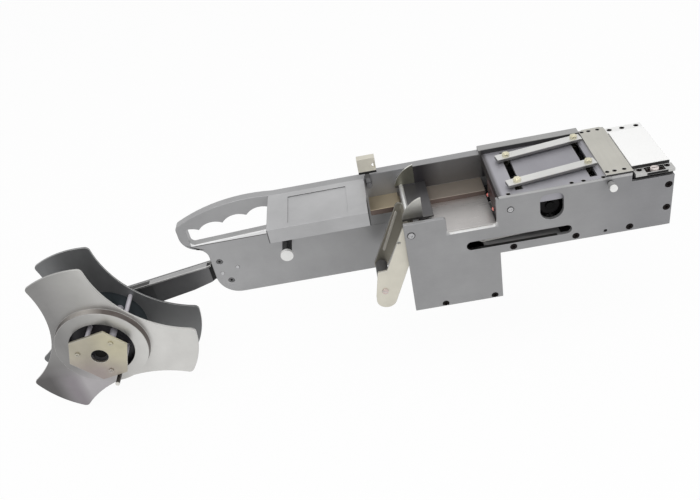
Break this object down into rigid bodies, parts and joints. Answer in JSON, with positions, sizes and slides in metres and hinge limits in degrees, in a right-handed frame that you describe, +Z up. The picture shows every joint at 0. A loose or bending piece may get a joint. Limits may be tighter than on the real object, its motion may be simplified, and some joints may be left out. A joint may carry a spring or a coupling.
{
  "type": "label feeder",
  "caption": "Plate-framed label feeder with a hand grip, a lobed label reel on a rear arm, a slotted tape deck with guide rails, a cover plate, a peel plate and a dock box.",
  "frame": {"origin": "centre of the docking face, the flat underside of the front section", "axes": "+X forward to the peel end, +Y from the near panel to the main plate, +Z up out of the docking face"},
  "size_m": [0.6582, 0.098, 0.2149],
  "materials": {
    "main_plate": "satin machined grey",
    "near_panel": "satin grey",
    "base_plate": "machined",
    "front_block": "black anodised",
    "dock_pan": "satin",
    "dock_connector": "moulded black",
    "deck_plate": "satin, bluish grey",
    "tape_ledge": "satin",
    "trough_floor": "bright sheet",
    "cover_plate": "fine brushed, warm grey",
    "peel_plate": "white",
    "end_bar_near": "satin",
    "end_bar_far": "satin",
    "panel_screws": "black oxide",
    "deck_screws": "black oxide",
    "cover_screws": "black oxide",
    "end_screws": "black oxide",
    "arm_screws": "black oxide",
    "control_cover": "satin sheet",
    "control_tray": "satin sheet",
    "control_board": "circuit board",
    "reel_arm": "satin",
    "arm_dowels": "ground",
    "reel_spindle": "turned",
    "entry_bracket": "dark sheet",
    "dancer_pin": "turned",
    "pinch_pin": "turned",
    "return_pin": "turned",
    "latch_pin": "turned",
    "motor_posts": "turned",
    "drive_motor": "black",
    "drive_bush": "turned",
    "drive_belt": "black",
    "tape_sensor": "dark red moulded",
    "rear_flange": "dark satin sheet",
    "front_flange": "satin sheet",
    "hub_disc": "black moulded",
    "hub_rods": "turned",
    "hub_spider": "black",
    "hub_plate": "pale zinc",
    "hub_screws": "zinc",
    "dancer_arm_near": "pale zinc",
    "dancer_arm_far": "dark",
    "dancer_axle": "turned",
    "dancer_roller": "black",
    "rail_far": "pale satin",
    "rail_near": "pale satin",
    "rail_far_studs": "brass",
    "rail_near_studs": "brass",
    "pull_knob": "black",
    "pull_cap": "pale",
    "thumb_screw": "pale",
    "adjuster_dial": "pale",
    "drive_shaft": "turned",
    "drive_sleeve": "black",
    "motor_pulley": "turned",
    "pinch_lever": "dark grey",
    "pinch_roller": "black",
    "return_roller": "turned",
    "latch_lever": "pale zinc"
  },
  "bodies": {
    "frame": {"main_plate": "main_plate", "near_panel": "near_panel", "base_plate": "base_plate", "front_block": "front_block", "dock_pan": "dock_pan", "dock_connector": "dock_connector", "deck_plate": "deck_plate", "tape_ledge": "tape_ledge", "trough_floor": "trough_floor", "cover_plate": "cover_plate", "peel_plate": "peel_plate", "end_bar_near": "end_bar_near", "end_bar_far": "end_bar_far", "panel_screws": "panel_screws", "deck_screws": "deck_screws", "cover_screws": "cover_screws", "end_screws": "end_screws", "arm_screws": "arm_screws", "control_cover": "control_cover", "control_tray": "control_tray", "control_board": "control_board", "reel_arm": "reel_arm", "arm_dowels": "arm_dowels", "reel_spindle": "reel_spindle", "entry_bracket": "entry_bracket", "dancer_pin": "dancer_pin", "pinch_pin": "pinch_pin", "return_pin": "return_pin", "latch_pin": "latch_pin", "motor_posts": "motor_posts", "drive_motor": "drive_motor", "drive_bush": "drive_bush", "drive_belt": "drive_belt", "tape_sensor": "tape_sensor"},
    "reel": {"rear_flange": "rear_flange", "front_flange": "front_flange", "hub_disc": "hub_disc", "hub_rods": "hub_rods", "hub_spider": "hub_spider", "hub_plate": "hub_plate", "hub_screws": "hub_screws"},
    "dancer": {"dancer_arm_near": "dancer_arm_near", "dancer_arm_far": "dancer_arm_far", "dancer_axle": "dancer_axle"},
    "dancer_wheel": {"dancer_roller": "dancer_roller"},
    "far_rail": {"rail_far": "rail_far", "rail_far_studs": "rail_far_studs"},
    "near_rail": {"rail_near": "rail_near", "rail_near_studs": "rail_near_studs"},
    "pull_plunger": {"pull_knob": "pull_knob", "pull_cap": "pull_cap"},
    "thumb": {"thumb_screw": "thumb_screw"},
    "dial": {"adjuster_dial": "adjuster_dial"},
    "drive": {"drive_shaft": "drive_shaft", "drive_sleeve": "drive_sleeve"},
    "rotor": {"motor_pulley": "motor_pulley"},
    "pinch": {"pinch_lever": "pinch_lever"},
    "pinch_wheel": {"pinch_roller": "pinch_roller"},
    "return_wheel": {"return_roller": "return_roller"},
    "latch": {"latch_lever": "latch_lever"}
  },
  "joints": [
    {"name": "reel_spin", "type": "hinge", "parent": "frame", "child": "reel", "pos_m": [-0.49, 0, -0.0477], "axis": [0, 1, 0], "continuous": true},
    {"name": "dancer_swing", "type": "hinge", "parent": "frame", "child": "dancer", "pos_m": [-0.159, 0, 0.0375], "axis": [0, 1, 0], "range_deg": [0, 18]},
    {"name": "dancer_roller_spin", "type": "hinge", "parent": "dancer", "child": "dancer_wheel", "pos_m": [-0.1915, 0, -0.026], "axis": [0, 1, 0], "continuous": true},
    {"name": "far_rail_slide", "type": "slide", "parent": "frame", "child": "far_rail", "axis": [0, 1, 0], "range_m": [-0.016, 0.002]},
    {"name": "near_rail_slide", "type": "slide", "parent": "frame", "child": "near_rail", "axis": [0, 1, 0], "range_m": [-0.0045, 0.014]},
    {"name": "knob_pull", "type": "slide", "parent": "frame", "child": "pull_plunger", "axis": [0, -1, 0], "range_m": [0, 0.006], "stiffness_N_per_m": 400, "springref_m": -0.004},
    {"name": "thumb_turn", "type": "hinge", "parent": "frame", "child": "thumb", "pos_m": [0.0215, -0.0435, 0.057], "axis": [0, 1, 0], "range_deg": [-180, 180]},
    {"name": "dial_turn", "type": "hinge", "parent": "frame", "child": "dial", "pos_m": [0.062, -0.0385, 0.0575], "axis": [0, 0, 1], "range_deg": [-135, 135]},
    {"name": "drive_spin", "type": "hinge", "parent": "frame", "child": "drive", "pos_m": [-0.03, 0, 0.039], "axis": [0, 1, 0], "continuous": true},
    {"name": "motor_spin", "type": "hinge", "parent": "frame", "child": "rotor", "pos_m": [-0.118, 0, 0.004], "axis": [0, 1, 0], "continuous": true},
    {"name": "pinch_open", "type": "hinge", "parent": "frame", "child": "pinch", "pos_m": [-0.092, 0, 0.013], "axis": [0, 1, 0], "range_deg": [0, 2], "stiffness_Nm_per_rad": 4, "springref_deg": -2.86},
    {"name": "pinch_spin", "type": "hinge", "parent": "pinch", "child": "pinch_wheel", "pos_m": [-0.03, 0, 0.0235], "axis": [0, 1, 0], "continuous": true},
    {"name": "return_spin", "type": "hinge", "parent": "frame", "child": "return_wheel", "pos_m": [-0.0673, 0, 0.047], "axis": [0, 1, 0], "continuous": true},
    {"name": "latch_rock", "type": "hinge", "parent": "frame", "child": "latch", "pos_m": [-0.1895, 0, 0.054], "axis": [0, 1, 0], "range_deg": [-8, 8], "stiffness_Nm_per_rad": 0.3}
  ],
  "couplings": [
    {"joint": "motor_spin", "follows": "drive_spin", "ratio": 1.4286},
    {"joint": "pinch_spin", "follows": "drive_spin", "ratio": -1.5}
  ]
}
